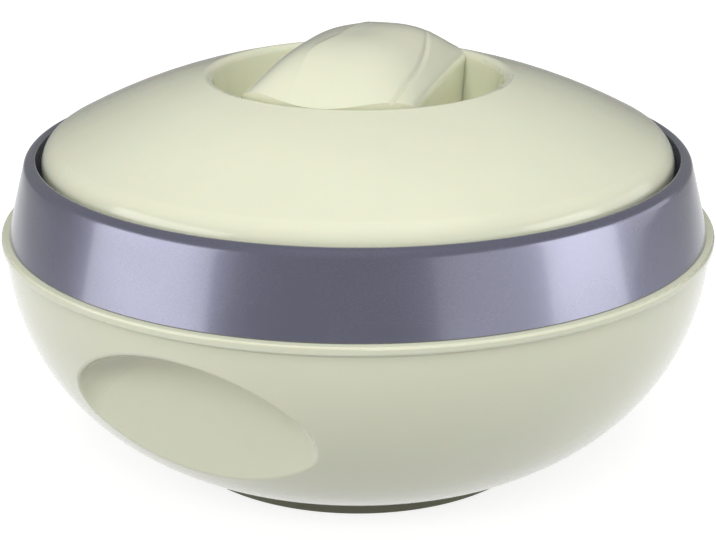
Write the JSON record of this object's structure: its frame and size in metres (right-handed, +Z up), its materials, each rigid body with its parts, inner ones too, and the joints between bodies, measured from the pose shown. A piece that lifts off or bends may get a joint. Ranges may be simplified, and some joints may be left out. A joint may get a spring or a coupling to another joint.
{
  "type": "insulated casserole",
  "caption": "Round insulated serving casserole with a foam-filled bowl, metallic rim band, hand scoops and a domed lift-off lid with a bridge grip in a recess.",
  "frame": {"origin": "on the table, at the centre of the foot ring", "axes": "+Z up along the bowl's axis, -Y toward the front, +X to the right seen from the front"},
  "size_m": [0.26, 0.26, 0.157],
  "materials": {
    "shell_plastic": "glossy pale green-cream moulded plastic",
    "liner_plastic": "satin off-white moulded plastic",
    "ring_plastic": "satin grey moulded plastic",
    "band_metallic": "glossy pearl lavender-grey metallic coating",
    "steel": "satin stainless steel",
    "foot_rubber": "matt dark olive soft plastic",
    "seal_rubber": "matt translucent white silicone",
    "foam": "rigid pale yellow foam"
  },
  "bodies": {
    "base": {"outer_shell": "shell_plastic", "foot_ring": "foot_rubber", "base_cap": "shell_plastic", "body_foam": "foam", "inner_bowl": "steel", "bowl_seal": "seal_rubber", "rim_ring": "ring_plastic", "metallic_band": "band_metallic"},
    "lid": {"lid_cover": "shell_plastic", "lid_handle": "shell_plastic", "handle_screws": "steel", "lid_foam": "foam", "lid_liner": "liner_plastic", "lid_seal": "seal_rubber", "liner_plug": "liner_plastic"}
  },
  "joints": [
    {"name": "lid_lift", "type": "slide", "parent": "base", "child": "lid", "axis": [0, 0, 1], "range_m": [0, 0.12]}
  ]
}
